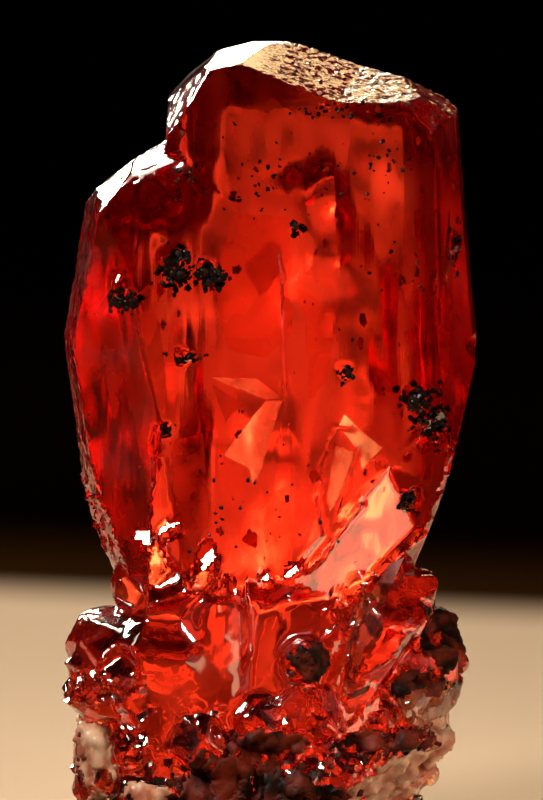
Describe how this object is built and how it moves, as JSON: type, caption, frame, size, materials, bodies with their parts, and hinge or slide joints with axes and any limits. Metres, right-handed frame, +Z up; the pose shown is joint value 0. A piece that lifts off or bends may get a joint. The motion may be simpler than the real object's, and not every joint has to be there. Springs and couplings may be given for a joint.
{
  "type": "proustite crystal specimen",
  "caption": "Ruby-red see-through proustite: a stout stepped crystal grown from a lumpy cluster of smaller crystals, cut off flat to stand on a shelf.",
  "frame": {"origin": "middle of the flat cut underside, under the middle of the specimen's box", "axes": "+Z up along the length of the large crystal, -Y out of its broad front, +X to the right as seen from the front"},
  "size_m": [0.0152, 0.0112, 0.03],
  "materials": {
    "proustite": "deep ruby-red see-through crystal with an adamantine lustre, frosted etched crown and dark metallic grains"
  },
  "bodies": {
    "root": {"proustite_crystals": "proustite"}
  },
  "joints": []
}
